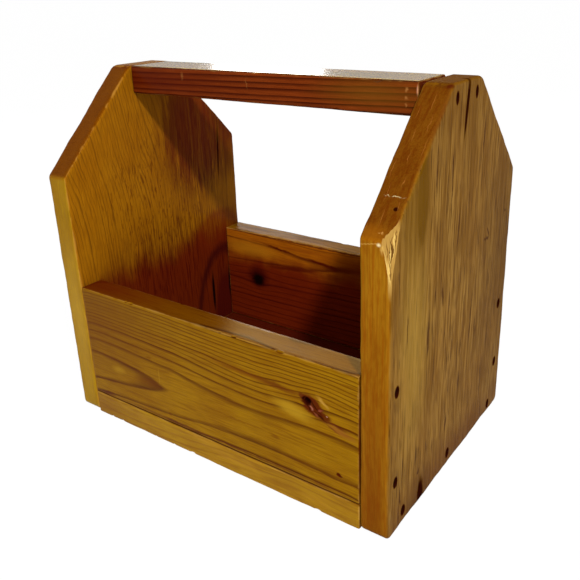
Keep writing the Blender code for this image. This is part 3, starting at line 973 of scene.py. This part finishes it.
class CADDY_OT_front_board(bpy.types.Operator):
    """Make the front board, with its knot hole"""
    bl_idname = "caddy.front_board"
    bl_label = "Front board"

    def execute(self, context):
        pits = (((84.1, -92.4, 80.3), (3.3, 3.2, 2.9), 4), ((106.5, -92.0, 35.4), (1.2, 0.6, 0.8), 5))
        return make_straight("front_board", "front_wall", front_look(), nails_of("front_low", "front_high"),
                             0, context.scene.caddy_shape.arris_mm, pits=pits)


class CADDY_OT_back_board(bpy.types.Operator):
    """Make the back board"""
    bl_idname = "caddy.back_board"
    bl_label = "Back board"

    def execute(self, context):
        return make_straight("back_board", "back_wall", back_look(), nails_of("back_low", "back_high"), 1,
                             context.scene.caddy_shape.arris_mm)


class CADDY_OT_base_board(bpy.types.Operator):
    """Make the bottom board"""
    bl_idname = "caddy.base_board"
    bl_label = "Bottom board"

    def execute(self, context):
        return make_straight("base_board", "bottom", base_look(), nails_of("_base_"), 2,
                             context.scene.caddy_shape.arris_mm, dented=("low",))


class CADDY_OT_handle(bpy.types.Operator):
    """Make the bar handle"""
    bl_idname = "caddy.handle"
    bl_label = "Handle"

    def execute(self, context):
        return make_straight("handle", "bar_handle", handle_look(), nails_of("handle"), 3,
                             context.scene.caddy_shape.handle_arris_mm, ("low", "high"), 8, step_mm=1.3)


class CADDY_OT_left_end(bpy.types.Operator):
    """Make the left end board, with the split in its inner face"""
    bl_idname = "caddy.left_end"
    bl_label = "Left end"

    def execute(self, context):
        board = end_board("left_end", context.scene.caddy_shape.seed + 4)
        bm = bmesh.new()
        nail_holes(bm, nails_of("nail_left"))
        groove(bm, -0.121, [(73, 209, 0.1, 0.3), (72, 196, 0.7, 1.8), (70, 180, 0.9, 2.2),
                            (69, 163, 0.6, 1.6), (67, 147, 0.1, 0.3)], 3)
        return finish_board(board, bm, "left_end", left_look())


class CADDY_OT_right_end(bpy.types.Operator):
    """Make the right end board, with its broken corner, its split top and its bark pocket"""
    bl_idname = "caddy.right_end"
    bl_label = "Right end"

    def execute(self, context):
        board = end_board("right_end", context.scene.caddy_shape.seed + 5)
        bm = bmesh.new()
        nail_holes(bm, nails_of("nail_right"))
        groove(bm, 0.140, [(1.8, 266, 3.0, 7), (1.4, 258, 2.6, 6), (0.0, 253, 2.2, 5), (-1.2, 243, 1.5, 3),
                           (-1.9, 235, 0.1, 0.3)], 5)
        groove(bm, 0.140, [(-47.0, 2.2, 8.8, 0.5), (-47.4, 4.5, 8.0, 2.0), (-48.2, 8.5, 5.0, 2.2),
                           (-49.0, 13, 2.2, 1.5), (-49.6, 17, 0.4, 0.3)], 6)
        # The broken corner's plane goes through these three points
        up, back, down = (Vector(p) for p in ((0.140, -0.0824, 0.2020), (0.1339, -0.092, 0.1923),
                                              (0.140, -0.092, 0.1660)))
        normal = (back - up).cross(down - up).normalized()
        if normal.x < 0:
            normal.negate()
        along = (down - up).normalized()
        rough_slab(bm, (up + back + down) / 3, normal.cross(along), along, normal, 8)
        return finish_board(board, bm, "right_end", right_look())


class CADDY_OT_nails(bpy.types.Operator):
    """Give the nails of the frame their rusty steel"""
    bl_idname = "caddy.nails"
    bl_label = "Nails"

    def execute(self, context):
        steel = rusty_steel("rusted nail steel", tuple(context.scene.caddy_colours.rust))
        for name in nails_of(""):
            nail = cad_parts[name]
            nail.data.materials.clear()
            nail.data.materials.append(steel)
        return {"FINISHED"}


class CADDY_OT_stage(bpy.types.Operator):
    """Set the floor, the lights, the sky and the camera"""
    bl_idname = "caddy.stage"
    bl_label = "Stage"

    def execute(self, context):
        stage = context.scene.caddy_stage
        make_floor(stage)
        make_sky(stage)
        make_lights(stage)
        make_camera()
        context.scene.view_settings.view_transform = "Standard"
        return {"FINISHED"}


# Stage

def seen_directly(tree):
    """1 for rays that show the surroundings: straight from the camera, mirrored or through glass."""
    path = add(tree, "LightPath").node.outputs
    rays = [path[f"Is {kind} Ray"] for kind in ("Camera", "Glossy", "Transmission")]
    return reduce(partial(add, tree, "Math MAXIMUM"), rays)


def make_floor(stage):
    bm = bmesh.new()
    bmesh.ops.create_circle(bm, cap_ends=True, segments=96, radius=60.0)
    floor = mesh_object("floor", bm)
    material = new_material("matt white paper")
    node = partial(add, material.node_tree)
    paper = node("BsdfDiffuse", stage.floor)
    lit = node("Emission", (1, 1, 1), 1.02)
    share = node("Math MULTIPLY", seen_directly(material.node_tree), 0.95)
    node("OutputMaterial", node("MixShader", share, paper, lit))
    floor.data.materials.append(material)


def make_sky(stage):
    world = bpy.data.worlds.new("studio")
    bpy.context.scene.world = world
    world.use_nodes = True
    world.node_tree.nodes.clear()
    node = partial(add, world.node_tree)
    light = node("Background", (1, 1, 1), stage.sky)
    white = node("Background", (1, 1, 1), 1.0)
    node("OutputWorld", node("MixShader", seen_directly(world.node_tree), light, white))


def soft_lamp(name, place, target, width, height, power):
    lamp = bpy.data.lights.new(name, "AREA")
    lamp.shape = "RECTANGLE"
    lamp.size, lamp.size_y = width, height
    lamp.energy = power
    obj = bpy.data.objects.new(name, lamp)
    obj.location = place
    obj.rotation_euler = (Vector(place) - Vector(target)).to_track_quat("Z", "Y").to_euler()
    obj.visible_camera = False
    bpy.context.scene.collection.objects.link(obj)
    return obj


def make_lights(stage):
    target = Vector((-0.05, 0.0, 0.15))
    toward_key = Vector((0.60, -0.455, 0.66)).normalized()
    soft_lamp("key", target + toward_key * 1.5, target, stage.key_size, stage.key_size, stage.key_power)
    card_angle = math.radians(38)
    away = Vector((-math.sin(card_angle), math.cos(card_angle), 0.0))
    soft_lamp("rear_card", Vector((0, 0, 0.42)) + away * 1.6, Vector((0, 0, 0.26)), 0.30, 0.40,
              stage.card_power)
    target = Vector((0.0, 0.0, 0.1))
    toward_window = Vector((-0.497, 0.709, 0.5)).normalized()
    card = soft_lamp("window_card", target + toward_window * 1.6, target, 1.0, 0.5, stage.window_power)
    card.data.color = stage.window_tint
    card.visible_diffuse = False


def make_camera():
    """The photograph's camera, found from the board corners. Pixels are of the 580 wide frame."""
    place = Vector((0.2931, -0.3836, 0.3147))
    yaw, pitch, roll = (math.radians(a) for a in (34.948, 20.38, -1.635))
    focal_px, frame_px, middle_px = 689.7, 580.0, (309.4, 244.4)
    camera = bpy.data.cameras.new("camera")
    camera.sensor_width = 36.0
    camera.lens = focal_px / frame_px * camera.sensor_width
    camera.shift_x = 0.5 - middle_px[0] / frame_px
    camera.shift_y = middle_px[1] / frame_px - 0.5
    camera.clip_start, camera.clip_end = 0.01, 60.0
    obj = bpy.data.objects.new("camera", camera)
    turns = ((yaw, "Z"), (math.pi / 2 - pitch, "X"), (roll, "Z"))
    obj.matrix_world = reduce(lambda so_far, turn: so_far @ Matrix.Rotation(turn[0], 4, turn[1]), turns,
                              Matrix.Translation(place))
    bpy.context.scene.collection.objects.link(obj)
    bpy.context.scene.camera = obj


OPERATORS = (CADDY_OT_stage, CADDY_OT_left_end, CADDY_OT_right_end, CADDY_OT_front_board, CADDY_OT_back_board,
             CADDY_OT_base_board, CADDY_OT_handle, CADDY_OT_nails)


class CADDY_PT_panel(bpy.types.Panel):
    """The caddy's sizes, colours and pieces"""
    bl_label = "Tool caddy"
    bl_idname = "CADDY_PT_panel"
    bl_space_type = "VIEW_3D"
    bl_region_type = "UI"
    bl_category = "Caddy"

    def draw(self, context):
        for group in (context.scene.caddy_shape, context.scene.caddy_colours, context.scene.caddy_stage):
            box = self.layout.box()
            for key in group.bl_rna.properties.keys():
                if key not in ("rna_type", "name"):
                    box.prop(group, key)
        for operator in OPERATORS:
            self.layout.operator(operator.bl_idname)


CLASSES = (CaddyShape, CaddyColours, CaddyStage, *OPERATORS, CADDY_PT_panel)


def register():
    for cls in CLASSES:
        bpy.utils.register_class(cls)
    bpy.types.Scene.caddy_shape = PointerProperty(type=CaddyShape)
    bpy.types.Scene.caddy_colours = PointerProperty(type=CaddyColours)
    bpy.types.Scene.caddy_stage = PointerProperty(type=CaddyStage)


def unregister():
    del bpy.types.Scene.caddy_stage
    del bpy.types.Scene.caddy_colours
    del bpy.types.Scene.caddy_shape
    for cls in reversed(CLASSES):
        bpy.utils.unregister_class(cls)


def main():
    register()
    for operator in OPERATORS:
        group, name = operator.bl_idname.split(".")
        getattr(getattr(bpy.ops, group), name)()


if __name__ == "__main__":
    main()
